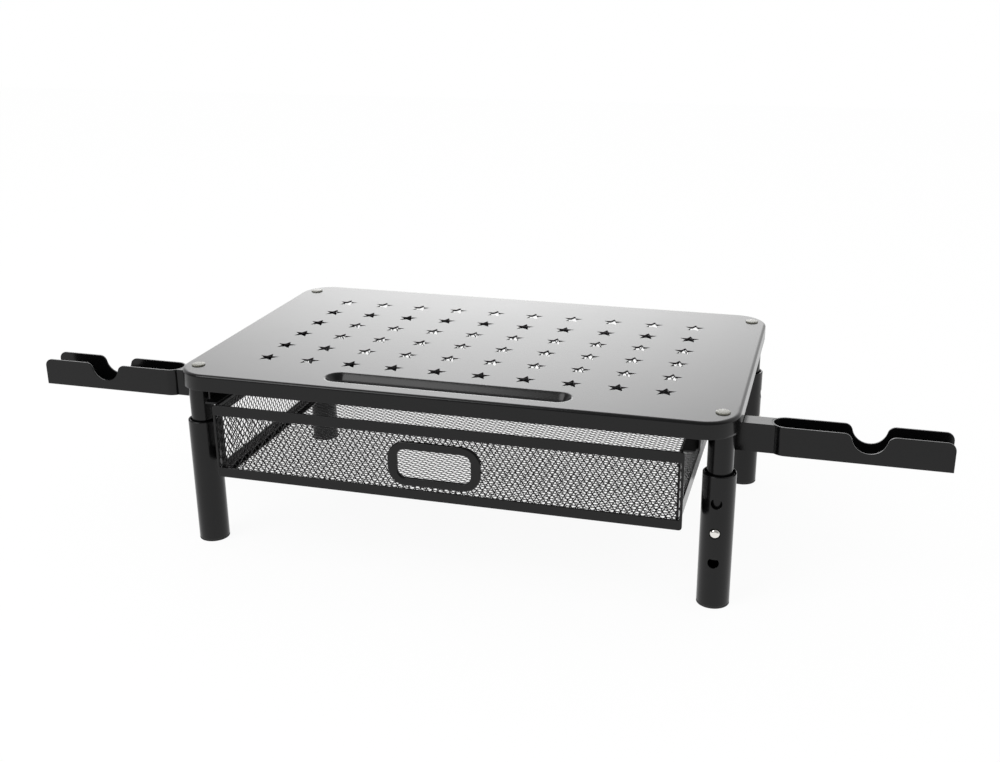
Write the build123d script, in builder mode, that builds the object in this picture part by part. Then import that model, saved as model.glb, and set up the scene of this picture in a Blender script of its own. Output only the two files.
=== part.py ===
from build123d import *
import math
import os

os.makedirs("parts", exist_ok=True)

# Monitor stand with a mesh drawer, telescoping legs and two side holders, all in millimetres.
# X runs to the right, Y to the back and Z up. The origin lies on the desk, at the centre of the footprint.

# Platform
platform_width = 370.0
platform_depth = 228.5
platform_height = 127.0
platform_corner_radius = 22.5
platform_edge_radius = 2.0
platform_sheet = 1.2
skirt_height = 11.0

# Star holes in the platform
star_columns = 10
star_rows = 6
star_pitch_x = 30.2
star_pitch_y = 27.8
stars_from_rear = 113.3
star_tip_radius = 7.1
star_notch_radius = 3.1

# Pressed groove near the front edge
groove_length = 164.0
groove_width = 18.0
groove_depth = 4.8
groove_from_front = 20.0
groove_wall_slope = 35.0

# Anti-slip pads
pad_diameter = 9.0
pad_thickness = 0.8

# Legs, with the buttons in their middle holes
leg_inset_x = 10.5
leg_inset_front = 19.5
leg_inset_rear = 17.0
outer_tube_diameter = 20.6
outer_tube_wall = 1.2
outer_tube_top = 89.0
inner_tube_diameter = 15.9
inner_tube_wall = 1.1
inner_tube_tail = 19.0
button_height = 51.5
hole_pitch = 20.0
hole_steps = (-1, 0, 1)
adjusting_hole_diameter = 7.0
collar_chamfer = 0.4

# Snap clips
button_diameter = 6.3
button_hole_gap = 0.3
button_proud = 0.9
button_rounding = 2.0
clip_strip_width = 5.6
clip_strip_thickness = 0.6
clip_wall_gap = 1.0
clip_straight = 10.0
clip_height = 26.0
clip_bend_radius = 1.6

# Foot caps and collar bushes
foot_flange = 1.5
foot_plug_height = 8.0
foot_plug_wall = 1.6
bush_height = 10.0
bush_recess = 1.5
fit_gap = 0.05

# Threaded bosses and studs that hold the inner tubes
boss_diameter = 12.0
boss_height = 8.0
thread_diameter = 8.0
stud_collar = 1.0
stud_plug_height = 12.0
stud_end_gap = 0.6

# Drawer
drawer_drop = 20.0
drawer_height = 51.0
drawer_front_proud = 0.5
drawer_rear_gap = 5.0
drawer_front_overhang = 2.5
frame_sheet = 1.2
mesh_sheet = 0.8
mesh_edge_gap = 0.3
front_bar_side = 1.5
front_bar_top = 7.0
front_bar_bottom = 6.5
front_corner_radius = 2.0
body_bar_end = 5.0
body_bar_top = 7.0
body_bar_bottom = 10.0
body_floor_flange = 3.5

# Mesh gaps, as diamonds in staggered rows that stand upright in the walls and lie across in the floor
gap_long_pitch = 11.0
gap_short_pitch = 7.0
floor_gap_long_pitch = 25.0
floor_gap_short_pitch = 16.0
strand_width = 1.6
floor_strand_width = 3.0

# Handle ring
handle_width = 62.0
handle_height = 30.0
handle_radius = 12.0
handle_band_side = 6.4
handle_band_top = 5.2
handle_left_of_middle = 2.0
handle_below_middle = 1.0
handle_thickness = 2.4
handle_rounding = 0.8

# Drawer rails and runners
rail_sheet = 1.2
rail_leg_gap = 1.0
rail_width = 7.2
rail_set_back = 9.5
rail_end_gap = 9.0
rail_below_drawer_top = 1.6
slide_gap = 0.3
runner_sheet = 1.2
runner_height = 8.0
runner_reach = 8.4
runner_side_gap = 0.6
runner_end_gap = 3.0
stop_ear_height = 10.0
stop_tab_height = 11.0
stop_gap = 0.2
drawer_travel = 170.0

# Side holders
arm_from_front = 46.0
arm_pivot_inset = 9.5
arm_drop = 13.0
arm_height = 18.5
arm_sheet = 1.2
neck_width = 13.0
trough_off_platform = 16.9
trough_length = 106.7
trough_width = 18.4
trough_corner_radius = 5.0
notch_from_end = 48.6
notch_radius = 10.5
notch_depth = 12.0
notch_shoulder = 5.0

# Hangers and pivots of the side holders
hanger_sheet = 1.2
hanger_length = 12.0
hanger_width = 16.0
hanger_flange = 4.0
swing_gap = 0.3
pivot_diameter = 5.0
pivot_head_diameter = 9.0
pivot_head = 1.6

# Levels and places worked out from the sizes above
handle_proud = handle_thickness - frame_sheet
mid_y = (drawer_front_proud + handle_proud) / 2
underside_z = platform_height - platform_sheet
skirt_z = platform_height - skirt_height
drawer_top_z = platform_height - drawer_drop
drawer_bottom_z = drawer_top_z - drawer_height
drawer_front_y = mid_y - platform_depth / 2 - drawer_front_proud
drawer_rear_y = mid_y + platform_depth / 2 - drawer_rear_gap
drawer_depth = drawer_rear_y - drawer_front_y
leg_x = platform_width / 2 - leg_inset_x
leg_front_y = mid_y - platform_depth / 2 + leg_inset_front
leg_rear_y = mid_y + platform_depth / 2 - leg_inset_rear
legs_middle_y = (leg_front_y + leg_rear_y) / 2
leg_y = (leg_rear_y - leg_front_y) / 2
rail_outer_x = leg_x - outer_tube_diameter / 2 - rail_leg_gap
body_side_x = rail_outer_x - rail_sheet - runner_side_gap - runner_reach
drawer_body_width = 2 * body_side_x
drawer_front_width = drawer_body_width + 2 * drawer_front_overhang
arm_top_z = platform_height - arm_drop
arm_bottom_z = arm_top_z - arm_height
arm_y = mid_y - platform_depth / 2 + arm_from_front
arm_pivot_x = platform_width / 2 - arm_pivot_inset
trough_start = platform_width / 2 + trough_off_platform
arm_reach = trough_start + trough_length
notch_x = arm_reach - notch_from_end
outer_tube_bore = outer_tube_diameter - 2 * outer_tube_wall
inner_tube_bore = inner_tube_diameter - 2 * inner_tube_wall
boss_bottom_z = underside_z - boss_height
inner_tube_top_z = boss_bottom_z - stud_collar
inner_tube_bottom_z = button_height - inner_tube_tail

sides = {"left": -1, "right": 1}

# Each corner has its side in X, its side in Y, and the direction that its button faces, in degrees from +X
corners = {
    "front_left": (-1, -1, 180),
    "front_right": (1, -1, 270),
    "rear_right": (1, 1, 0),
    "rear_left": (-1, 1, 90),
}


def leg_plane(side_x, side_y, height):
    """Level plane on a leg's axis, at a height above the desk."""
    return Plane((side_x * leg_x, legs_middle_y + side_y * leg_y, height))


def facing_plane(side_x, side_y, height, facing):
    """Upright plane through a leg's axis whose normal points the way the leg's button faces."""
    outward = (math.cos(math.radians(facing)), math.sin(math.radians(facing)), 0)
    return Plane(leg_plane(side_x, side_y, height).origin, x_dir=(0, 0, 1), z_dir=outward)


def edge_on_plane(side_x, side_y, height, facing):
    """Upright plane through a leg's axis, with local X the way the button faces and local Y up."""
    turn = math.radians(facing)
    outward = (math.cos(turn), math.sin(turn), 0)
    sideways = (math.sin(turn), -math.cos(turn), 0)
    return Plane(leg_plane(side_x, side_y, height).origin, x_dir=outward, z_dir=sideways)


def across_plane(y):
    """Upright plane across the stand at y, with local X to the right and local Y up; its normal points forward."""
    return Plane.XZ.offset(-y)


def along_plane(x):
    """Upright plane along the stand at x, with local X to the back and local Y up; its normal points right."""
    return Plane.YZ.offset(x)


def mesh_gaps(width, height, across, upright, strand):
    """Cuts staggered diamond gaps that fill a window of width by height at the current location.

    The pitches across and upright are those of one row and one column; strand is the metal left between gaps.
    """
    columns = math.floor(width / across)
    rows = math.floor(height / upright)
    open_share = 1 - strand * math.hypot(across, upright) / (across * upright)
    half_across = open_share * across / 2
    half_upright = open_share * upright / 2
    diamond = [(half_across, 0), (0, half_upright), (-half_across, 0), (0, -half_upright)]
    with GridLocations(across, upright, columns, rows):
        Polygon(*diamond, mode=Mode.SUBTRACT)
    with GridLocations(across, upright, columns - 1, rows - 1):
        Polygon(*diamond, mode=Mode.SUBTRACT)


def write(piece, name):
    """Labels a finished piece and writes it to its own file."""
    piece.part.label = name
    export_step(piece.part, f"parts/{name}.step")


# Top platform: a tray pressed from one sheet, open below, with the groove's bulge on its underside
star_points = [
    (-radius * math.sin(math.radians(36 * step)), radius * math.cos(math.radians(36 * step)))
    for step, radius in enumerate([star_tip_radius, star_notch_radius] * 5)
]
stars_y = mid_y + platform_depth / 2 - stars_from_rear
groove_y = mid_y - platform_depth / 2 + groove_from_front
with BuildPart() as top_platform:
    with BuildSketch(Plane.XY.offset(skirt_z)):
        with Locations((0, mid_y)):
            RectangleRounded(platform_width, platform_depth, platform_corner_radius)
    extrude(amount=skirt_height)
    fillet(top_platform.edges().group_by(Axis.Z)[-1], platform_edge_radius)
    offset(amount=-platform_sheet, openings=top_platform.faces().sort_by(Axis.Z)[0])
    with BuildSketch(Plane.XY.offset(platform_height)):
        with Locations((0, groove_y)):
            SlotOverall(groove_length + 2 * platform_sheet, groove_width + 2 * platform_sheet)
    extrude(amount=-(groove_depth + platform_sheet), taper=groove_wall_slope)
    with BuildSketch(Plane.XY.offset(platform_height)):
        with Locations((0, groove_y)):
            SlotOverall(groove_length, groove_width)
    extrude(amount=-groove_depth, taper=groove_wall_slope, mode=Mode.SUBTRACT)
    with BuildSketch(Plane.XY.offset(platform_height)):
        with Locations((0, stars_y)):
            with GridLocations(star_pitch_x, star_pitch_y, star_columns, star_rows):
                Polygon(*star_points)
    extrude(amount=-platform_sheet, mode=Mode.SUBTRACT)
write(top_platform, "top_platform")

# Legs: one of each piece at every corner
for corner, (side_x, side_y, facing) in corners.items():
    with BuildPart() as pad:
        with BuildSketch(leg_plane(side_x, side_y, platform_height)):
            Circle(pad_diameter / 2)
        extrude(amount=pad_thickness)
        fillet(pad.edges().group_by(Axis.Z)[-1], pad_thickness / 3)
    write(pad, f"pad_{corner}")

    with BuildPart() as leg_boss:
        with BuildSketch(leg_plane(side_x, side_y, underside_z)):
            Circle(boss_diameter / 2)
            Circle(thread_diameter / 2, mode=Mode.SUBTRACT)
        extrude(amount=-boss_height)
    write(leg_boss, f"leg_boss_{corner}")

    with BuildPart() as leg_stud:
        with BuildSketch(leg_plane(side_x, side_y, inner_tube_top_z)):
            Circle(inner_tube_diameter / 2)
        extrude(amount=stud_collar)
        with BuildSketch(leg_plane(side_x, side_y, inner_tube_top_z)):
            Circle(inner_tube_bore / 2 - fit_gap)
        extrude(amount=-stud_plug_height)
        with BuildSketch(leg_plane(side_x, side_y, boss_bottom_z)):
            Circle(thread_diameter / 2 - fit_gap)
        extrude(amount=boss_height - stud_end_gap)
    write(leg_stud, f"leg_stud_{corner}")

    with BuildPart() as inner_tube:
        with BuildSketch(leg_plane(side_x, side_y, inner_tube_bottom_z)):
            Circle(inner_tube_diameter / 2)
            Circle(inner_tube_bore / 2, mode=Mode.SUBTRACT)
        extrude(amount=inner_tube_top_z - inner_tube_bottom_z)
        with BuildSketch(facing_plane(side_x, side_y, button_height, facing)):
            Circle(button_diameter / 2 + button_hole_gap)
        extrude(amount=inner_tube_diameter, mode=Mode.SUBTRACT)
    write(inner_tube, f"inner_tube_{corner}")

    leaf_reach = inner_tube_bore / 2 - clip_wall_gap - clip_strip_thickness / 2
    leaf_low = -clip_straight / 2
    clip_route = [
        (leaf_reach, leaf_low),
        (leaf_reach, clip_straight / 2),
        (0, leaf_low + clip_height),
        (-leaf_reach, clip_straight / 2),
        (-leaf_reach, leaf_low),
    ]
    with BuildPart() as snap_clip:
        with BuildSketch(edge_on_plane(side_x, side_y, button_height, facing)):
            with BuildLine():
                FilletPolyline(*clip_route, radius=clip_bend_radius)
            trace(line_width=clip_strip_thickness)
        extrude(amount=clip_strip_width / 2, both=True)
        with BuildSketch(facing_plane(side_x, side_y, button_height, facing).offset(leaf_reach)):
            Circle(button_diameter / 2)
        extrude(amount=outer_tube_diameter / 2 + button_proud - leaf_reach)
        button_axis = Axis((0, 0, 0), facing_plane(side_x, side_y, button_height, facing).z_dir)
        fillet(snap_clip.faces().sort_by(button_axis)[-1].edges(), button_rounding)
    write(snap_clip, f"snap_clip_{corner}")

    with BuildPart() as outer_tube:
        with BuildSketch(leg_plane(side_x, side_y, foot_flange)):
            Circle(outer_tube_diameter / 2)
            Circle(outer_tube_bore / 2, mode=Mode.SUBTRACT)
        extrude(amount=outer_tube_top - foot_flange)
        chamfer(outer_tube.edges().group_by(Axis.Z)[-1].sort_by(SortBy.LENGTH)[-1], collar_chamfer)
        for step in hole_steps:
            with BuildSketch(facing_plane(side_x, side_y, button_height + step * hole_pitch, facing)):
                Circle(adjusting_hole_diameter / 2)
            extrude(amount=outer_tube_diameter, mode=Mode.SUBTRACT)
    write(outer_tube, f"outer_tube_{corner}")

    with BuildPart() as collar_bush:
        with BuildSketch(leg_plane(side_x, side_y, outer_tube_top - bush_recess)):
            Circle(outer_tube_bore / 2 - fit_gap)
            Circle(inner_tube_diameter / 2 + fit_gap, mode=Mode.SUBTRACT)
        extrude(amount=-bush_height)
    write(collar_bush, f"collar_bush_{corner}")

    with BuildPart() as foot_cap:
        with BuildSketch(leg_plane(side_x, side_y, 0)):
            Circle(outer_tube_diameter / 2)
        extrude(amount=foot_flange)
        with BuildSketch(leg_plane(side_x, side_y, foot_flange)):
            Circle(outer_tube_bore / 2 - fit_gap)
            Circle(outer_tube_bore / 2 - fit_gap - foot_plug_wall, mode=Mode.SUBTRACT)
        extrude(amount=foot_plug_height)
    write(foot_cap, f"foot_cap_{corner}")

# Drawer front: frame, mesh behind it, and the handle ring round the finger hole
drawer_middle_y = (drawer_front_y + drawer_rear_y) / 2
drawer_middle_z = (drawer_bottom_z + drawer_top_z) / 2
front_window_width = drawer_front_width - 2 * front_bar_side
front_window_height = drawer_height - front_bar_top - front_bar_bottom
front_window_z = drawer_bottom_z + front_bar_bottom + front_window_height / 2
mesh_bottom_z = drawer_bottom_z + frame_sheet + mesh_sheet + mesh_edge_gap
mesh_height = drawer_top_z - mesh_edge_gap - mesh_bottom_z
mesh_width = drawer_body_width - 2 * (frame_sheet + mesh_edge_gap)
front_mesh_width = drawer_front_width - 2 * mesh_edge_gap
mesh_middle_z = mesh_bottom_z + mesh_height / 2
hole_width = handle_width - 2 * handle_band_side
hole_height = handle_height - 2 * handle_band_top
hole_radius = handle_radius - handle_band_side
handle_z = drawer_middle_z - handle_below_middle

with BuildPart() as drawer_front_frame:
    with BuildSketch(across_plane(drawer_front_y)):
        with Locations((0, drawer_middle_z)):
            RectangleRounded(drawer_front_width, drawer_height, front_corner_radius)
        with Locations((0, front_window_z)):
            Rectangle(front_window_width, front_window_height, mode=Mode.SUBTRACT)
    extrude(amount=-frame_sheet)
write(drawer_front_frame, "drawer_front_frame")

with BuildPart() as drawer_front_mesh:
    with BuildSketch(across_plane(drawer_front_y + frame_sheet)):
        with Locations((0, mesh_middle_z)):
            Rectangle(front_mesh_width, mesh_height)
        with Locations((0, front_window_z)):
            mesh_gaps(front_window_width, front_window_height, gap_short_pitch, gap_long_pitch, strand_width)
        with Locations((-handle_left_of_middle, handle_z)):
            RectangleRounded(handle_width, handle_height, handle_radius)
            RectangleRounded(hole_width, hole_height, hole_radius, mode=Mode.SUBTRACT)
    extrude(amount=-mesh_sheet)
write(drawer_front_mesh, "drawer_front_mesh")

with BuildPart() as drawer_handle_ring:
    with BuildSketch(across_plane(drawer_front_y + frame_sheet)):
        with Locations((-handle_left_of_middle, handle_z)):
            RectangleRounded(handle_width, handle_height, handle_radius)
            RectangleRounded(hole_width, hole_height, hole_radius, mode=Mode.SUBTRACT)
    extrude(amount=handle_thickness)
    fillet(drawer_handle_ring.edges().group_by(Axis.Y)[0], handle_rounding)
write(drawer_handle_ring, "drawer_handle_ring")

# Drawer back and floor
body_window_height = drawer_height - body_bar_top - body_bar_bottom
body_window_z = drawer_bottom_z + body_bar_bottom + body_window_height / 2
back_window_width = drawer_body_width - 2 * body_bar_end

with BuildPart() as drawer_back_frame:
    with BuildSketch(across_plane(drawer_rear_y)):
        with Locations((0, drawer_middle_z)):
            Rectangle(drawer_body_width, drawer_height)
        with Locations((0, body_window_z)):
            Rectangle(back_window_width, body_window_height, mode=Mode.SUBTRACT)
    extrude(amount=frame_sheet)
write(drawer_back_frame, "drawer_back_frame")

with BuildPart() as drawer_back_mesh:
    with BuildSketch(across_plane(drawer_rear_y - frame_sheet)):
        with Locations((0, mesh_middle_z)):
            Rectangle(mesh_width, mesh_height)
        with Locations((0, body_window_z)):
            mesh_gaps(back_window_width, body_window_height, gap_short_pitch, gap_long_pitch, strand_width)
    extrude(amount=mesh_sheet)
write(drawer_back_mesh, "drawer_back_mesh")

floor_depth = drawer_depth - 2 * (frame_sheet + mesh_edge_gap)
floor_window_width = drawer_body_width - 2 * body_floor_flange
floor_window_depth = drawer_depth - 2 * body_floor_flange
with BuildPart() as drawer_floor_mesh:
    with BuildSketch(Plane.XY.offset(drawer_bottom_z + frame_sheet)):
        with Locations((0, drawer_middle_y)):
            Rectangle(mesh_width, floor_depth)
            mesh_gaps(
                floor_window_width,
                floor_window_depth,
                floor_gap_long_pitch,
                floor_gap_short_pitch,
                floor_strand_width,
            )
    extrude(amount=mesh_sheet)
write(drawer_floor_mesh, "drawer_floor_mesh")

# Drawer sides with the runners welded on, and the rails under the platform
flange_length = drawer_depth - 2 * frame_sheet
side_length = flange_length - mesh_sheet
side_middle_y = drawer_middle_y + mesh_sheet / 2
side_mesh_length = drawer_depth - 2 * (frame_sheet + mesh_sheet + mesh_edge_gap)
side_window_length = flange_length - 2 * body_bar_end
rail_front_y = mid_y - platform_depth / 2 + rail_set_back
rail_length = platform_depth - rail_set_back - rail_end_gap
rail_bottom_z = drawer_top_z - rail_below_drawer_top
rail_height = underside_z - rail_bottom_z
rail_middle_z = rail_bottom_z + rail_height / 2
rail_inner_x = rail_outer_x - rail_sheet
runner_bottom_z = rail_bottom_z + rail_sheet + slide_gap + runner_sheet - runner_height
runner_top_z = runner_bottom_z + runner_height
runner_front_y = drawer_front_y + frame_sheet + mesh_sheet
runner_length = drawer_depth - frame_sheet - mesh_sheet - runner_end_gap
ear_width = runner_reach - runner_sheet
ear_front_y = runner_front_y + runner_length - runner_sheet
tab_rear_y = ear_front_y - drawer_travel - stop_gap
tab_width = rail_width - rail_sheet

for side, side_x in sides.items():
    with BuildPart() as drawer_side_frame:
        with BuildSketch(along_plane(side_x * body_side_x)):
            with Locations((side_middle_y, drawer_middle_z)):
                Rectangle(side_length, drawer_height)
            with Locations((drawer_middle_y, body_window_z)):
                Rectangle(side_window_length, body_window_height, mode=Mode.SUBTRACT)
        extrude(amount=-side_x * frame_sheet)
        with BuildSketch(Plane.XY.offset(drawer_bottom_z)):
            with Locations((side_x * (body_side_x - body_floor_flange / 2), drawer_middle_y)):
                Rectangle(body_floor_flange, flange_length)
        extrude(amount=frame_sheet)
    write(drawer_side_frame, f"drawer_side_frame_{side}")

    with BuildPart() as drawer_side_mesh:
        with BuildSketch(along_plane(side_x * (body_side_x - frame_sheet))):
            with Locations((drawer_middle_y, mesh_middle_z)):
                Rectangle(side_mesh_length, mesh_height)
            with Locations((drawer_middle_y, body_window_z)):
                mesh_gaps(side_window_length, body_window_height, gap_short_pitch, gap_long_pitch, strand_width)
        extrude(amount=-side_x * mesh_sheet)
    write(drawer_side_mesh, f"drawer_side_mesh_{side}")

    with BuildPart() as drawer_runner:
        with BuildSketch(across_plane(runner_front_y)):
            with Locations((side_x * (body_side_x + runner_sheet / 2), runner_top_z - runner_height / 2)):
                Rectangle(runner_sheet, runner_height)
            with Locations((side_x * (body_side_x + runner_reach / 2), runner_top_z - runner_sheet / 2)):
                Rectangle(runner_reach, runner_sheet)
        extrude(amount=-runner_length)
        with BuildSketch(across_plane(ear_front_y)):
            ear_x = side_x * (body_side_x + runner_sheet + ear_width / 2)
            with Locations((ear_x, runner_top_z + stop_ear_height / 2)):
                Rectangle(ear_width, stop_ear_height)
        extrude(amount=-runner_sheet)
    write(drawer_runner, f"drawer_runner_{side}")

    with BuildPart() as drawer_rail:
        with BuildSketch(across_plane(rail_front_y)):
            with Locations((side_x * (rail_outer_x - rail_width / 2), rail_middle_z)):
                Rectangle(rail_width, rail_height)
            with Locations((side_x * (rail_inner_x - rail_width / 2), rail_middle_z)):
                Rectangle(rail_width, rail_height - 2 * rail_sheet, mode=Mode.SUBTRACT)
        extrude(amount=-rail_length)
        with BuildSketch(across_plane(tab_rear_y)):
            tab_z = underside_z - rail_sheet - stop_tab_height / 2
            with Locations((side_x * (rail_inner_x - tab_width / 2), tab_z)):
                Rectangle(tab_width, stop_tab_height)
        extrude(amount=rail_sheet)
    write(drawer_rail, f"drawer_rail_{side}")

# Side holders, each on a rivet in a hanger under the platform
trough_bend_x = trough_start + trough_width / 2
trough_straight = arm_reach - trough_bend_x
arm_middle_z = arm_bottom_z + arm_height / 2
hanger_bottom_z = arm_top_z + swing_gap
hanger_height = underside_z - hanger_bottom_z

for side, side_x in sides.items():
    with BuildPart() as holder_trough:
        with BuildSketch(Plane.XY.offset(arm_bottom_z)):
            with Locations((side_x * trough_bend_x, arm_y)):
                Circle(trough_width / 2)
            with Locations((side_x * (trough_bend_x + trough_straight / 2), arm_y)):
                Rectangle(trough_straight, trough_width)
            with Locations((side_x * trough_bend_x, arm_y)):
                Circle(trough_width / 2 - arm_sheet, mode=Mode.SUBTRACT)
            with Locations((side_x * (trough_bend_x + trough_straight / 2), arm_y)):
                Rectangle(trough_straight, trough_width - 2 * arm_sheet, mode=Mode.SUBTRACT)
        extrude(amount=arm_height)
        with BuildSketch(across_plane(arm_y)) as trough_side:
            with Locations((side_x * (trough_start + arm_reach) / 2, arm_middle_z)):
                Rectangle(arm_reach - trough_start, arm_height)
            with Locations((side_x * notch_x, arm_top_z - notch_depth + notch_radius)):
                Circle(notch_radius, mode=Mode.SUBTRACT)
            rim = trough_side.vertices().group_by(Axis.Y)[-1].sort_by_distance((0, arm_top_z))
            fillet(rim[1:3], notch_shoulder)
            fillet(trough_side.vertices().sort_by_distance((side_x * arm_reach, arm_top_z))[0], trough_corner_radius)
        extrude(amount=trough_width / 2, both=True, mode=Mode.INTERSECT)
    write(holder_trough, f"holder_trough_{side}")

    with BuildPart() as holder_floor:
        with BuildSketch(Plane.XY.offset(arm_bottom_z)):
            with Locations((side_x * trough_bend_x, arm_y)):
                Circle(trough_width / 2 - arm_sheet)
            with Locations((side_x * (trough_bend_x + trough_straight / 2), arm_y)):
                Rectangle(trough_straight, trough_width - 2 * arm_sheet)
        extrude(amount=arm_sheet)
    write(holder_floor, f"holder_floor_{side}")

    with BuildPart() as holder_neck:
        with BuildSketch(Plane.XY.offset(arm_bottom_z)):
            with Locations((side_x * arm_pivot_x, arm_y)):
                Circle(neck_width / 2)
            with Locations((side_x * (arm_pivot_x + trough_bend_x) / 2, arm_y)):
                Rectangle(trough_bend_x - arm_pivot_x, neck_width)
        extrude(amount=arm_height)
        with BuildSketch(Plane.XY.offset(arm_bottom_z)):
            with Locations((side_x * arm_pivot_x, arm_y)):
                Circle(neck_width / 2 - arm_sheet)
            with Locations((side_x * (arm_pivot_x + trough_bend_x) / 2, arm_y)):
                Rectangle(trough_bend_x - arm_pivot_x, neck_width - 2 * arm_sheet)
        extrude(amount=arm_height - arm_sheet, mode=Mode.SUBTRACT)
        with BuildSketch(Plane.XY.offset(arm_bottom_z)):
            with Locations((side_x * trough_bend_x, arm_y)):
                Circle(trough_width / 2)
            with Locations((side_x * arm_pivot_x, arm_y)):
                Circle(pivot_diameter / 2 + fit_gap)
        extrude(amount=arm_height, mode=Mode.SUBTRACT)
    write(holder_neck, f"holder_neck_{side}")

    with BuildPart() as arm_hanger:
        with BuildSketch(along_plane(side_x * arm_pivot_x)):
            with Locations((arm_y, hanger_bottom_z + hanger_height / 2)):
                Rectangle(hanger_width, hanger_height)
            with Locations((arm_y, underside_z - hanger_sheet / 2)):
                Rectangle(hanger_width + 2 * hanger_flange, hanger_sheet)
            with Locations((arm_y, hanger_bottom_z + hanger_sheet + hanger_height / 2)):
                Rectangle(hanger_width - 2 * hanger_sheet, hanger_height, mode=Mode.SUBTRACT)
        extrude(amount=hanger_length / 2, both=True)
        with BuildSketch(Plane.XY.offset(hanger_bottom_z)):
            with Locations((side_x * arm_pivot_x, arm_y)):
                Circle(pivot_diameter / 2)
        extrude(amount=hanger_sheet, mode=Mode.SUBTRACT)
    write(arm_hanger, f"arm_hanger_{side}")

    pivot_top_z = hanger_bottom_z + hanger_sheet
    pivot_bottom_z = arm_top_z - arm_sheet - swing_gap
    with BuildPart() as arm_pivot:
        with BuildSketch(Plane.XY.offset(pivot_bottom_z)):
            with Locations((side_x * arm_pivot_x, arm_y)):
                Circle(pivot_diameter / 2)
        extrude(amount=pivot_top_z - pivot_bottom_z)
        with BuildSketch(Plane.XY.offset(pivot_top_z)):
            with Locations((side_x * arm_pivot_x, arm_y)):
                Circle(pivot_head_diameter / 2)
        extrude(amount=pivot_head)
        with BuildSketch(Plane.XY.offset(pivot_bottom_z)):
            with Locations((side_x * arm_pivot_x, arm_y)):
                Circle(pivot_head_diameter / 2)
        extrude(amount=-pivot_head)
    write(arm_pivot, f"arm_pivot_{side}")
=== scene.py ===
"""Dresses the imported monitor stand: fine drawer nets, bumpers, finishes, studio and camera."""

import logging
import math
from dataclasses import dataclass
from enum import Enum
from typing import Callable

import bpy
from mathutils import Euler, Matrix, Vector


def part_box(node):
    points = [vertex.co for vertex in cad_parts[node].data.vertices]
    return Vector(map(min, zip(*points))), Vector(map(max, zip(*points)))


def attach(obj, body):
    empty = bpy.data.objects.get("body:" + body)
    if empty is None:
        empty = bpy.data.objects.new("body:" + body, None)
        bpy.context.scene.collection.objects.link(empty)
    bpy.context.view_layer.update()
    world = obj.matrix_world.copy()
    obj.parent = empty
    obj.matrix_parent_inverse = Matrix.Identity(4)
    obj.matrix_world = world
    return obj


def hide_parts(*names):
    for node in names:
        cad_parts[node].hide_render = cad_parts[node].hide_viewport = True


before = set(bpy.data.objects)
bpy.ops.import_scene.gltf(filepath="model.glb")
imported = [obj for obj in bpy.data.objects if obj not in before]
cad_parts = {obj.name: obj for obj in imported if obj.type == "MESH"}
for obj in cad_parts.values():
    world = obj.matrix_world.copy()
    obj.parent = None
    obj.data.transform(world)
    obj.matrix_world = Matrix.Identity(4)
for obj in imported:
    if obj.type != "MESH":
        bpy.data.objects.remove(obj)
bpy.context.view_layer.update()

MM = 0.001
CORNERS = ("front_left", "front_right", "rear_right", "rear_left")
LOG = logging.getLogger("monitor_stand")


class Facing(Enum):
    """Way that the outer face of a sheet looks, as the turn from lying flat with that face up."""

    FRONT = (math.pi / 2, 0.0, 0.0)
    BACK = (math.pi / 2, 0.0, math.pi)
    LEFT = (math.pi / 2, 0.0, -math.pi / 2)
    RIGHT = (math.pi / 2, 0.0, math.pi / 2)
    DOWN = (math.pi, 0.0, 0.0)

    def outward(self) -> Vector:
        """Direction that the outer face looks in."""
        return Euler(self.value).to_matrix() @ Vector((0, 0, 1))


class Slot(Enum):
    """Material slots of the record."""

    POWDER_COAT = "black_powder_coat"
    CLEAR_PAD = "clear_pad"
    ZINC = "zinc_plated_steel"
    NICKEL = "plated_spring_steel"
    NYLON = "black_plastic"
    RUBBER = "black_rubber"


def linear(code: str) -> tuple[float, float, float, float]:
    """Turns an sRGB hex code into the linear colour that a shader takes.

    Args:
        code: Six hex digits with a leading hash.

    Returns:
        Red, green and blue in linear light, and an alpha of 1.
    """
    parts = [int(code[i : i + 2], 16) / 255 for i in (1, 3, 5)]
    red, green, blue = [p / 12.92 if p <= 0.04045 else ((p + 0.055) / 1.055) ** 2.4 for p in parts]
    return red, green, blue, 1.0


def add_node(tree: bpy.types.NodeTree, kind: str, settings: dict[str, object], **inputs: object) -> bpy.types.Node:
    """Adds one shader node with its settings, values and links.

    Args:
        tree: Node tree that gets the node.
        kind: Blender's type name of the node.
        settings: Attributes of the node, by name.
        **inputs: Values or output sockets for its inputs; an underscore stands for a space, and a leading
            "at" with a number picks an input by its place.

    Returns:
        The new node.
    """
    node = tree.nodes.new(kind)
    for name, value in settings.items():
        setattr(node, name, value)
    for name, value in inputs.items():
        key = int(name[2:]) if name[:2] == "at" and name[2:].isdigit() else name.replace("_", " ")
        socket = node.inputs[key]
        if isinstance(value, bpy.types.NodeSocket):
            tree.links.new(value, socket)
        else:
            socket.default_value = value
    return node


def fresh_material(name: str) -> tuple[bpy.types.Material, bpy.types.NodeTree]:
    """Makes an empty material.

    Args:
        name: Name of the material.

    Returns:
        The material and its node tree, with nothing in it.
    """
    material = bpy.data.materials.new(name)
    material.use_nodes = True
    material.node_tree.nodes.clear()
    return material, material.node_tree


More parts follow.
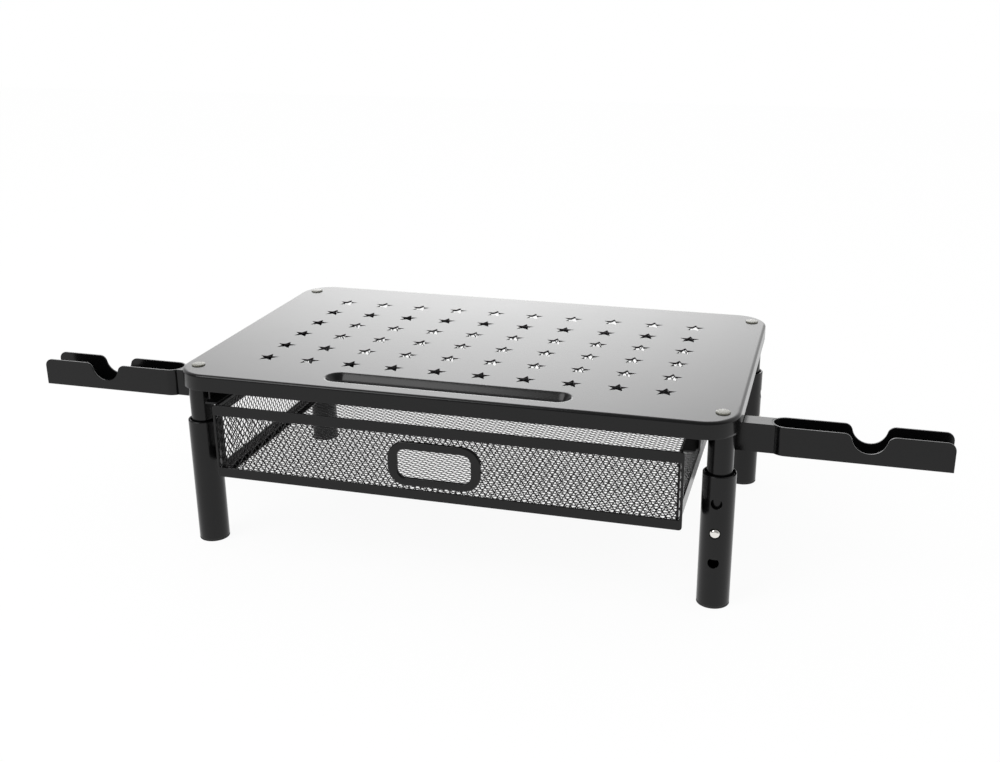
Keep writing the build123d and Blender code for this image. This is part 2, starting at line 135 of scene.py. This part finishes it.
@dataclass(frozen=True)
class CoatedSteel:
    """Steel sheet and tube with a baked black polyester powder coat.

    The powder melts into a smooth satin skin with a faint orange peel: the eye gets a deep black that turns pale
    grey where it is looked along, with soft broad reflections. It flows off sharp edges, so each edge is a thin
    rounded line that catches the light.
    """

    name: str = "black_powder_coat_on_steel"
    deep: str = "#050505"
    pale: str = "#0a0a0b"
    ior: float = 1.37
    roughness: tuple[float, float] = (0.17, 0.21)
    mottle_mm: float = 35.0
    peel_mm: float = 1.8
    peel_depth_mm: float = 0.004
    edge_mm: float = 0.6
    lip_mm: float = 0.6
    lip_y_mm: tuple[float, float] = (0.0, 1.0)

    def make(self) -> bpy.types.Material:
        """Makes the material; the peel is drawn coarser than its real half millimetre so that it shows."""
        material, tree = fresh_material(self.name)
        where = add_node(tree, "ShaderNodeTexCoord", {}).outputs["Object"]
        mottle = add_node(tree, "ShaderNodeTexNoise", {}, Vector=where, Scale=1 / (self.mottle_mm * MM), Detail=3.0)
        peel = add_node(tree, "ShaderNodeTexNoise", {}, Vector=where, Scale=1 / (self.peel_mm * MM), Detail=1.0)
        colour = add_node(
            tree,
            "ShaderNodeMix",
            {"data_type": "RGBA"},
            at0=mottle.outputs["Fac"],
            at6=linear(self.deep),
            at7=linear(self.pale),
        )
        gloss = add_node(
            tree,
            "ShaderNodeMapRange",
            {},
            Value=mottle.outputs["Fac"],
            To_Min=self.roughness[0],
            To_Max=self.roughness[1],
        )
        edge = add_node(tree, "ShaderNodeBevel", {"samples": 8}, Radius=self.edge_radius(tree, where))
        bump = add_node(
            tree,
            "ShaderNodeBump",
            {},
            Height=peel.outputs["Fac"],
            Distance=self.peel_depth_mm * MM,
            Strength=1.0,
            Normal=edge.outputs["Normal"],
        )
        shader = add_node(
            tree,
            "ShaderNodeBsdfPrincipled",
            {},
            Base_Color=colour.outputs[2],
            Roughness=gloss.outputs["Result"],
            IOR=self.ior,
            Normal=bump.outputs["Normal"],
        )
        add_node(tree, "ShaderNodeOutputMaterial", {}, Surface=shader.outputs["BSDF"])
        return material

    def edge_radius(self, tree: bpy.types.NodeTree, where: bpy.types.NodeSocket) -> bpy.types.NodeSocket:
        """Adds the nodes of the rounding of edges: small at cut edges, larger at the drawn lip of a groove.

        Args:
            tree: Node tree of the finish.
            where: Socket of the place on the object.

        Returns:
            Socket of the radius, in metres.
        """
        along = add_node(tree, "ShaderNodeSeparateXYZ", {}, Vector=where)
        middle, half = (place * MM for place in self.lip_y_mm)
        off = add_node(tree, "ShaderNodeMath", {"operation": "SUBTRACT"}, at0=along.outputs["Y"], at1=middle)
        far = add_node(tree, "ShaderNodeMath", {"operation": "ABSOLUTE"}, at0=off.outputs[0])
        return add_node(
            tree,
            "ShaderNodeMapRange",
            {},
            Value=far.outputs[0],
            From_Min=half,
            From_Max=half + self.lip_mm * MM,
            To_Min=self.lip_mm * MM,
            To_Max=self.edge_mm * MM,
        ).outputs["Result"]


@dataclass(frozen=True)
class ClearPolyurethane:
    """Cast clear polyurethane of a stick-on bumper: soft and glassy, with a faint warm cast and fine haze."""

    name: str = "clear_polyurethane"
    tint: str = "#77766c"
    clear: str = "#85847a"
    ior: float = 1.38
    roughness: tuple[float, float] = (0.24, 0.3)
    clarity: float = 0.35
    haze_mm: float = 2.5

    def make(self) -> bpy.types.Material:
        """Makes the material, with a haze that varies over the pad."""
        material, tree = fresh_material(self.name)
        where = add_node(tree, "ShaderNodeTexCoord", {}).outputs["Object"]
        haze = add_node(tree, "ShaderNodeTexNoise", {}, Vector=where, Scale=1 / (self.haze_mm * MM), Detail=2.0)
        gloss = add_node(
            tree,
            "ShaderNodeMapRange",
            {},
            Value=haze.outputs["Fac"],
            To_Min=self.roughness[0],
            To_Max=self.roughness[1],
        )
        tint = add_node(
            tree,
            "ShaderNodeMix",
            {"data_type": "RGBA"},
            at0=haze.outputs["Fac"],
            at6=linear(self.tint),
            at7=linear(self.clear),
        )
        shader = add_node(
            tree,
            "ShaderNodeBsdfPrincipled",
            {},
            Base_Color=tint.outputs[2],
            Roughness=gloss.outputs["Result"],
            IOR=self.ior,
            Transmission_Weight=self.clarity,
        )
        add_node(tree, "ShaderNodeOutputMaterial", {}, Surface=shader.outputs["BSDF"])
        return material


@dataclass(frozen=True)
class PlatedSteel:
    """Steel with a thin bright plating: mirror-like nickel on the spring clips, greyer zinc on studs and rivets."""

    name: str
    colour: str
    shade: str
    roughness: tuple[float, float]
    grain_mm: float

    def make(self) -> bpy.types.Material:
        """Makes the material, its gloss broken up by the drawing marks under the plating."""
        material, tree = fresh_material(self.name)
        where = add_node(tree, "ShaderNodeTexCoord", {}).outputs["Object"]
        grain = add_node(tree, "ShaderNodeTexNoise", {}, Vector=where, Scale=1 / (self.grain_mm * MM), Detail=4.0)
        colour = add_node(
            tree,
            "ShaderNodeMix",
            {"data_type": "RGBA"},
            at0=grain.outputs["Fac"],
            at6=linear(self.shade),
            at7=linear(self.colour),
        )
        gloss = add_node(
            tree,
            "ShaderNodeMapRange",
            {},
            Value=grain.outputs["Fac"],
            To_Min=self.roughness[0],
            To_Max=self.roughness[1],
        )
        shader = add_node(
            tree,
            "ShaderNodeBsdfPrincipled",
            {},
            Base_Color=colour.outputs[2],
            Roughness=gloss.outputs["Result"],
            Metallic=1.0,
        )
        add_node(tree, "ShaderNodeOutputMaterial", {}, Surface=shader.outputs["BSDF"])
        return material


@dataclass(frozen=True)
class MouldedBlack:
    """Black injection-moulded polymer with the fine matt texture of its spark-eroded mould."""

    name: str
    colour: str
    worn: str
    roughness: tuple[float, float]
    texture_mm: float
    depth_mm: float

    def make(self) -> bpy.types.Material:
        """Makes the material, with the mould's texture as a bump."""
        material, tree = fresh_material(self.name)
        where = add_node(tree, "ShaderNodeTexCoord", {}).outputs["Object"]
        texture = add_node(
            tree,
            "ShaderNodeTexNoise",
            {},
            Vector=where,
            Scale=1 / (self.texture_mm * MM),
            Detail=2.0,
        )
        colour = add_node(
            tree,
            "ShaderNodeMix",
            {"data_type": "RGBA"},
            at0=texture.outputs["Fac"],
            at6=linear(self.colour),
            at7=linear(self.worn),
        )
        gloss = add_node(
            tree,
            "ShaderNodeMapRange",
            {},
            Value=texture.outputs["Fac"],
            To_Min=self.roughness[0],
            To_Max=self.roughness[1],
        )
        bump = add_node(
            tree,
            "ShaderNodeBump",
            {},
            Height=texture.outputs["Fac"],
            Distance=self.depth_mm * MM,
        )
        shader = add_node(
            tree,
            "ShaderNodeBsdfPrincipled",
            {},
            Base_Color=colour.outputs[2],
            Roughness=gloss.outputs["Result"],
            Normal=bump.outputs["Normal"],
        )
        add_node(tree, "ShaderNodeOutputMaterial", {}, Surface=shader.outputs["BSDF"])
        return material


def finishes() -> dict[Slot, bpy.types.Material]:
    """Makes each finish once, by material slot."""
    return {
        Slot.POWDER_COAT: CoatedSteel().make(),
        Slot.CLEAR_PAD: ClearPolyurethane().make(),
        Slot.ZINC: PlatedSteel("zinc_plated_steel", "#b9bcc0", "#9a9ea4", (0.28, 0.42), 6.0).make(),
        Slot.NICKEL: PlatedSteel("nickel_plated_spring_steel", "#f0eee9", "#dedcd6", (0.04, 0.1), 4.0).make(),
        Slot.NYLON: MouldedBlack("black_nylon", "#121212", "#191919", (0.45, 0.55), 0.8, 0.01).make(),
        Slot.RUBBER: MouldedBlack("black_rubber", "#0f0f0f", "#1b1b1b", (0.6, 0.75), 1.2, 0.02).make(),
    }


def deselect_all() -> None:
    """Leaves nothing selected, so that an operator touches only the piece in hand."""
    bpy.ops.object.select_all(action="DESELECT")


def apply_place(obj: bpy.types.Object) -> None:
    """Moves an object's place, turn and scale into its mesh."""
    deselect_all()
    obj.select_set(True)
    bpy.context.view_layer.objects.active = obj
    bpy.ops.object.transform_apply(location=True, rotation=True, scale=True)


def select_faces(obj: bpy.types.Object, wanted: Callable[[Vector], bool]) -> None:
    """Opens a piece in edit mode with only the wanted faces selected.

    Args:
        obj: The active piece, in object mode.
        wanted: Says of a face's centre whether the face is selected.
    """
    bpy.ops.object.mode_set(mode="EDIT")
    bpy.ops.mesh.select_mode(type="FACE")
    bpy.ops.mesh.select_all(action="DESELECT")
    bpy.ops.object.mode_set(mode="OBJECT")
    for face in obj.data.polygons:
        face.select = wanted(face.center)
    bpy.ops.object.mode_set(mode="EDIT")


def hand_over(obj: bpy.types.Object, body: str, finish: bpy.types.Material, node: str) -> None:
    """Gives a finished piece its finish and body, and hides the CAD node that it stands for.

    Args:
        obj: The piece, in place in the row frame.
        body: CAD body that carries it.
        finish: Material of the piece.
        node: CAD node that the piece stands for.
    """
    obj.data.materials.append(finish)
    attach(obj, body)
    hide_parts(node)
    LOG.info("%s: %d faces, on %s, for %s", obj.name, len(obj.data.polygons), body, node)


def dress(node: str, finish: bpy.types.Material) -> None:
    """Gives a CAD node its finish and leaves its mesh alone.

    Args:
        node: Name of the CAD node.
        finish: Material for the whole node.
    """
    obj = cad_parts[node]
    for slot in obj.material_slots:
        slot.link = "OBJECT"
        slot.material = finish
    LOG.info("%s: dressed in %s", node, finish.name)


@dataclass
class Net:
    """Sheet of expanded metal: staggered diamond gaps between strands of even width."""

    name: str
    node: str
    facing: Facing
    columns: int
    rows: int
    pitch_across_mm: float
    pitch_up_mm: float
    strand_mm: float = 0.6
    thickness_mm: float = 0.25
    hole_mm: tuple[float, float] = (0.0, 0.0)
    hole_centre_mm: tuple[float, float] = (0.0, 0.0)
    spare_cells: int = 3

    def build(self) -> bpy.types.Object:
        """Draws the net flat, opens its gaps, thickens it and stands it at its CAD node's outer face.

        Returns:
            The finished net, in place.
        """
        net = self.lattice()
        self.open_gaps(net)
        sheet = net.modifiers.new("sheet", "SOLIDIFY")
        sheet.thickness = self.thickness_mm * MM
        sheet.offset = -1
        bpy.ops.object.modifier_apply(modifier=sheet.name)
        low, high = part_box(self.node)
        outward = self.facing.outward()
        net.rotation_euler = self.facing.value
        net.location = (low + high) / 2 + outward * abs(outward.dot(high - low)) / 2
        apply_place(net)
        return net

    def lattice(self) -> bpy.types.Object:
        """Makes a flat sheet of diamonds, cut along the lines through their points.

        Returns:
            The sheet, centred at the origin with its outer face up.
        """
        cells = 2 * ((self.columns + self.rows) // 2 + self.spare_cells)
        deselect_all()
        bpy.ops.mesh.primitive_grid_add(
            x_subdivisions=cells,
            y_subdivisions=cells,
            size=cells / math.sqrt(2),
            location=(0, 0, 0),
            rotation=(0, 0, math.pi / 4),
        )
        net = bpy.context.object
        net.name = self.name
        apply_place(net)
        net.scale = (self.pitch_across_mm * MM, self.pitch_up_mm * MM, 1)
        apply_place(net)
        half_across = self.columns * self.pitch_across_mm * MM / 2
        half_up = self.rows * self.pitch_up_mm * MM / 2
        bpy.ops.object.mode_set(mode="EDIT")
        for normal, reach in (
            ((1, 0, 0), half_across),
            ((-1, 0, 0), half_across),
            ((0, 1, 0), half_up),
            ((0, -1, 0), half_up),
        ):
            bpy.ops.mesh.select_all(action="SELECT")
            bpy.ops.mesh.bisect(
                plane_co=Vector(normal) * reach,
                plane_no=normal,
                clear_outer=True,
                threshold=self.strand_mm * MM / 4,
            )
        bpy.ops.object.mode_set(mode="OBJECT")
        return net

    def open_gaps(self, net: bpy.types.Object) -> None:
        """Cuts the hand hole, if the net has one, and opens a gap in each diamond that is left.

        Args:
            net: The flat sheet of diamonds.
        """
        half_wide, half_high = (size * MM / 2 for size in self.hole_mm)
        across, up = (place * MM for place in self.hole_centre_mm)
        select_faces(net, lambda centre: abs(centre.x - across) < half_wide and abs(centre.y - up) < half_high)
        bpy.ops.mesh.delete(type="FACE")
        bpy.ops.mesh.select_mode(type="FACE")
        bpy.ops.mesh.select_all(action="SELECT")
        bpy.ops.mesh.inset(thickness=self.strand_mm * MM / 2, use_individual=True)
        bpy.ops.mesh.delete(type="FACE")
        bpy.ops.object.mode_set(mode="OBJECT")


@dataclass
class Drawer:
    """Sliding drawer: coated sheet frames that hold five fine nets, on runners at its sides.

    The diamonds stand upright in the four walls and lie across the floor.
    """

    long_pitch_mm: float = 6.3
    front_columns: int = 79
    front_pitch_mm: float = 3.929
    back_columns: int = 77
    back_pitch_mm: float = 3.935
    wall_rows: int = 7
    side_columns: int = 55
    side_pitch_mm: float = 3.988
    floor_columns: int = 48
    floor_long_pitch_mm: float = 6.312
    floor_rows: int = 56
    floor_short_pitch_mm: float = 3.945
    ring_middle_mm: tuple[float, float] = (55.6, 24.8)
    ring_centre_mm: tuple[float, float] = (-2.0, -2.0)

    def nets(self) -> list[Net]:
        """Lists the five nets with the sizes that fill their frames."""
        front = (self.front_columns, self.wall_rows, self.front_pitch_mm, self.long_pitch_mm)
        back = (self.back_columns, self.wall_rows, self.back_pitch_mm, self.long_pitch_mm)
        side = (self.side_columns, self.wall_rows, self.side_pitch_mm, self.long_pitch_mm)
        floor = (self.floor_columns, self.floor_rows, self.floor_long_pitch_mm, self.floor_short_pitch_mm)
        return [
            Net(
                "drawer_front_net",
                "drawer_front_mesh",
                Facing.FRONT,
                *front,
                hole_mm=self.ring_middle_mm,
                hole_centre_mm=self.ring_centre_mm,
            ),
            Net("drawer_back_net", "drawer_back_mesh", Facing.BACK, *back),
            Net("drawer_side_net_left", "drawer_side_mesh_left", Facing.LEFT, *side),
            Net("drawer_side_net_right", "drawer_side_mesh_right", Facing.RIGHT, *side),
            Net("drawer_floor_net", "drawer_floor_mesh", Facing.DOWN, *floor),
        ]

    def build(self, finish: dict[Slot, bpy.types.Material]) -> None:
        """Builds the nets and dresses the drawer's frames, ring and rails.

        Args:
            finish: Finishes by material slot.
        """
        coat = finish[Slot.POWDER_COAT]
        for net in self.nets():
            hand_over(net.build(), "drawer", coat, net.node)
        for node in ("drawer_front_frame", "drawer_back_frame", "drawer_handle_ring"):
            dress(node, coat)
        for part in ("side_frame", "runner", "rail"):
            for side in ("left", "right"):
                dress(f"drawer_{part}_{side}", coat)


@dataclass
class Platform:
    """Top platform with its star holes and pen groove, and four clear bumpers under the monitor's foot."""

    bumper_sides: int = 48
    bumper_crown_mm: float = 0.5
    crown_steps: int = 5
    bumper_sink_mm: float = 0.05
    groove_y_mm: tuple[float, float] = (-93.4, 12.0)
    groove_lip_mm: float = 2.2
    top_share: float = 0.49
    smooth_below_deg: float = 35.0

    def build(self, finish: dict[Slot, bpy.types.Material]) -> None:
        """Dresses the platform and its fixings, and builds the bumpers.

        Args:
            finish: Finishes by material slot.
        """
        pressed = CoatedSteel(
            "black_powder_coat_on_pressed_sheet",
            lip_mm=self.groove_lip_mm,
            lip_y_mm=self.groove_y_mm,
        )
        dress("top_platform", pressed.make())
        for corner in CORNERS:
            dress(f"leg_boss_{corner}", finish[Slot.ZINC])
            dress(f"leg_stud_{corner}", finish[Slot.ZINC])
            self.bumper(corner, finish[Slot.CLEAR_PAD])

    def bumper(self, corner: str, clear: bpy.types.Material) -> None:
        """Builds one bumper: a low disc with a softly rounded upper edge, sunk a little into the coat.

        Args:
            corner: Corner of the platform that it sits at.
            clear: Finish of the bumper.
        """
        node = f"pad_{corner}"
        low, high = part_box(node)
        deselect_all()
        bpy.ops.mesh.primitive_cylinder_add(
            vertices=self.bumper_sides,
            radius=(high.x - low.x) / 2,
            depth=high.z - low.z + self.bumper_sink_mm * MM,
            location=(low + high) / 2 - Vector((0, 0, self.bumper_sink_mm * MM / 2)),
        )
        pad = bpy.context.object
        pad.name = f"clear_bumper_{corner}"
        select_faces(pad, lambda centre: centre.z > (high.z - low.z) * self.top_share)
        bpy.ops.mesh.bevel(
            offset=self.bumper_crown_mm * MM,
            segments=self.crown_steps,
            profile=0.5,
            affect="EDGES",
        )
        bpy.ops.object.mode_set(mode="OBJECT")
        apply_place(pad)
        bpy.ops.object.shade_smooth_by_angle(angle=math.radians(self.smooth_below_deg))
        hand_over(pad, "stand", clear, node)


@dataclass
class Leg:
    """Telescopic leg at one corner: a slim tube in a wider one, a spring clip with its button, a collar and a foot."""

    corner: str

    def build(self, finish: dict[Slot, bpy.types.Material]) -> None:
        """Dresses the leg's tubes, clip, collar and foot.

        Args:
            finish: Finishes by material slot.
        """
        dress(f"inner_tube_{self.corner}", finish[Slot.POWDER_COAT])
        dress(f"outer_tube_{self.corner}", finish[Slot.POWDER_COAT])
        dress(f"snap_clip_{self.corner}", finish[Slot.NICKEL])
        dress(f"collar_bush_{self.corner}", finish[Slot.NYLON])
        dress(f"foot_cap_{self.corner}", finish[Slot.RUBBER])


@dataclass
class HolderArm:
    """Swing-out holder at one side: a folded trough on a neck and hanger, held under the platform by a rivet."""

    side: str

    def build(self, finish: dict[Slot, bpy.types.Material]) -> None:
        """Dresses the arm and its rivet.

        Args:
            finish: Finishes by material slot.
        """
        for part in ("holder_trough", "holder_floor", "holder_neck", "arm_hanger"):
            dress(f"{part}_{self.side}", finish[Slot.POWDER_COAT])
        dress(f"arm_pivot_{self.side}", finish[Slot.ZINC])


@dataclass
class Studio:
    """White floor with a bright backdrop behind, a softbox at the front left, and the photograph's camera.

    The backdrop is brighter than white and only reflected rays see it. It makes the black platform shine as it does
    in the photograph.
    """

    floor_size: float = 5.0
    fibre_mm: float = 4.0
    paper_glow: float = 0.93
    ambient: float = 0.95
    front_shade: float = 0.35
    shade_blend: float = 0.3
    backdrop_way: tuple[float, float, float] = (-0.267, 0.933, 0.242)
    backdrop_radiance: float = 2.95
    backdrop_falloff: float = 18.0
    key_size: float = 1.4
    key_place: tuple[float, float, float] = (-1.35, -1.6, 1.9)
    key_radiance: float = 4.2
    aim_height: float = 0.1
    camera_place: tuple[float, float, float] = (0.234988, -0.773316, 0.387075)
    camera_turn: tuple[float, float, float, float] = (0.8096507, 0.5699060, 0.0843544, 0.1120594)
    lens_mm: float = 43.408
    sensor_mm: float = 36.0

    def build(self) -> None:
        """Builds the floor, the surroundings, the softbox and the camera."""
        self.floor()
        self.surroundings()
        self.softbox("key_softbox", self.key_place, (self.key_size, self.key_size), self.key_radiance)
        self.camera()

    def floor(self) -> None:
        """Lays a white floor that is lit by the lamps and shows as white paper, with the stand's soft shadow."""
        deselect_all()
        bpy.ops.mesh.primitive_plane_add(size=self.floor_size, location=(0, 0, 0))
        floor = bpy.context.object
        floor.name = "studio_floor"
        material, tree = fresh_material("white_seamless_paper")
        fibre = add_node(
            tree,
            "ShaderNodeTexNoise",
            {},
            Vector=add_node(tree, "ShaderNodeTexCoord", {}).outputs["Object"],
            Scale=1 / (self.fibre_mm * MM),
        )
        tone = add_node(
            tree,
            "ShaderNodeMix",
            {"data_type": "RGBA"},
            at0=fibre.outputs["Fac"],
            at6=linear("#f4f4f4"),
            at7=linear("#f8f8f8"),
        )
        paper = add_node(tree, "ShaderNodeBsdfDiffuse", {}, Color=tone.outputs[2])
        glow = add_node(tree, "ShaderNodeEmission", {}, Color=linear("#ffffff"), Strength=1.0)
        seen = add_node(
            tree,
            "ShaderNodeMath",
            {"operation": "MULTIPLY"},
            at0=self.seen_rays(tree),
            at1=self.paper_glow,
        )
        mixed = add_node(
            tree,
            "ShaderNodeMixShader",
            {},
            at0=seen.outputs[0],
            at1=paper.outputs[0],
            at2=glow.outputs[0],
        )
        add_node(tree, "ShaderNodeOutputMaterial", {}, Surface=mixed.outputs[0])
        floor.data.materials.append(material)

    def seen_rays(self, tree: bpy.types.NodeTree) -> bpy.types.NodeSocket:
        """Adds the nodes that pick out camera, glossy and transmission rays.

        Args:
            tree: Node tree of the floor.

        Returns:
            Socket that is 1 for such a ray and 0 for any other.
        """
        path = add_node(tree, "ShaderNodeLightPath", {})
        near = add_node(
            tree,
            "ShaderNodeMath",
            {"operation": "MAXIMUM"},
            at0=path.outputs["Is Camera Ray"],
            at1=path.outputs["Is Transmission Ray"],
        )
        return add_node(
            tree,
            "ShaderNodeMath",
            {"operation": "MAXIMUM"},
            at0=near.outputs[0],
            at1=path.outputs["Is Glossy Ray"],
        ).outputs[0]

    def surroundings(self) -> None:
        """Makes the world: white where it is seen; reflections show the dim room in front and the lit backdrop."""
        world = bpy.data.worlds.new("white_surroundings")
        bpy.context.scene.world = world
        world.use_nodes = True
        tree = world.node_tree
        tree.nodes.clear()
        way = add_node(tree, "ShaderNodeTexCoord", {}).outputs["Generated"]
        along = add_node(tree, "ShaderNodeSeparateXYZ", {}, Vector=way)
        room = add_node(
            tree,
            "ShaderNodeMapRange",
            {},
            Value=along.outputs["Y"],
            From_Min=-self.shade_blend,
            From_Max=self.shade_blend,
            To_Min=self.front_shade,
            To_Max=1.0,
        )
        reflected = add_node(
            tree,
            "ShaderNodeMath",
            {"operation": "ADD"},
            at0=room.outputs["Result"],
            at1=self.backdrop(tree, way),
        )
        path = add_node(tree, "ShaderNodeLightPath", {})
        lit = add_node(
            tree,
            "ShaderNodeMix",
            {"data_type": "FLOAT"},
            at0=path.outputs["Is Glossy Ray"],
            at2=self.ambient,
            at3=reflected.outputs[0],
        )
        straight = add_node(
            tree,
            "ShaderNodeMath",
            {"operation": "MAXIMUM"},
            at0=path.outputs["Is Camera Ray"],
            at1=path.outputs["Is Transmission Ray"],
        )
        strength = add_node(
            tree,
            "ShaderNodeMix",
            {"data_type": "FLOAT"},
            at0=straight.outputs[0],
            at2=lit.outputs[0],
            at3=1.0,
        )
        background = add_node(
            tree,
            "ShaderNodeBackground",
            {},
            Color=linear("#ffffff"),
            Strength=strength.outputs[0],
        )
        add_node(tree, "ShaderNodeOutputWorld", {}, Surface=background.outputs[0])

    def backdrop(self, tree: bpy.types.NodeTree, way: bpy.types.NodeSocket) -> bpy.types.NodeSocket:
        """Adds the nodes of the lit backdrop, brightest in its middle and fading evenly outwards.

        Args:
            tree: Node tree of the world.
            way: Socket of the direction looked in.

        Returns:
            Socket of the light that the backdrop adds in that direction.
        """
        near = add_node(tree, "ShaderNodeVectorMath", {"operation": "DOT_PRODUCT"}, at0=way, at1=self.backdrop_way)
        off = add_node(tree, "ShaderNodeMath", {"operation": "SUBTRACT"}, at0=near.outputs["Value"], at1=1.0)
        fall = add_node(
            tree,
            "ShaderNodeMath",
            {"operation": "MULTIPLY"},
            at0=off.outputs[0],
            at1=self.backdrop_falloff,
        )
        share = add_node(tree, "ShaderNodeMath", {"operation": "EXPONENT"}, at0=fall.outputs[0])
        return add_node(
            tree,
            "ShaderNodeMath",
            {"operation": "MULTIPLY"},
            at0=share.outputs[0],
            at1=self.backdrop_radiance,
        ).outputs[0]

    def softbox(
        self,
        name: str,
        place: tuple[float, float, float],
        size: tuple[float, float],
        radiance: float,
    ) -> None:
        """Sets up one softbox that faces the stand.

        Args:
            name: Name of the lamp.
            place: Its centre, in metres.
            size: Its width and height, in metres.
            radiance: How bright its face is, where white paper in plain light is 1.
        """
        lamp = bpy.data.lights.new(name, "AREA")
        lamp.shape = "RECTANGLE"
        lamp.size, lamp.size_y = size
        lamp.energy = radiance * math.pi * size[0] * size[1]
        rig = bpy.data.objects.new(name, lamp)
        rig.location = place
        rig.rotation_euler = (Vector((0, 0, self.aim_height)) - rig.location).to_track_quat("-Z", "Y").to_euler()
        rig.visible_camera = False
        bpy.context.collection.objects.link(rig)

    def camera(self) -> None:
        """Sets up the camera at the photograph's place, which was fitted to the star grid, edges and legs."""
        lens = bpy.data.cameras.new("photo_camera")
        lens.sensor_width = self.sensor_mm
        lens.lens = self.lens_mm
        rig = bpy.data.objects.new("photo_camera", lens)
        rig.location = self.camera_place
        rig.rotation_mode = "QUATERNION"
        rig.rotation_quaternion = self.camera_turn
        bpy.context.collection.objects.link(rig)
        bpy.context.scene.camera = rig


def main() -> None:
    """Builds the stand's sub-assemblies in order and sets up the studio."""
    logging.basicConfig(level=logging.INFO, format="%(name)s: %(message)s")
    bpy.context.scene.view_settings.view_transform = "Standard"
    finish = finishes()
    Platform().build(finish)
    Drawer().build(finish)
    for corner in CORNERS:
        Leg(corner).build(finish)
    for side in ("left", "right"):
        HolderArm(side).build(finish)
    Studio().build()


if __name__ == "__main__":
    main()
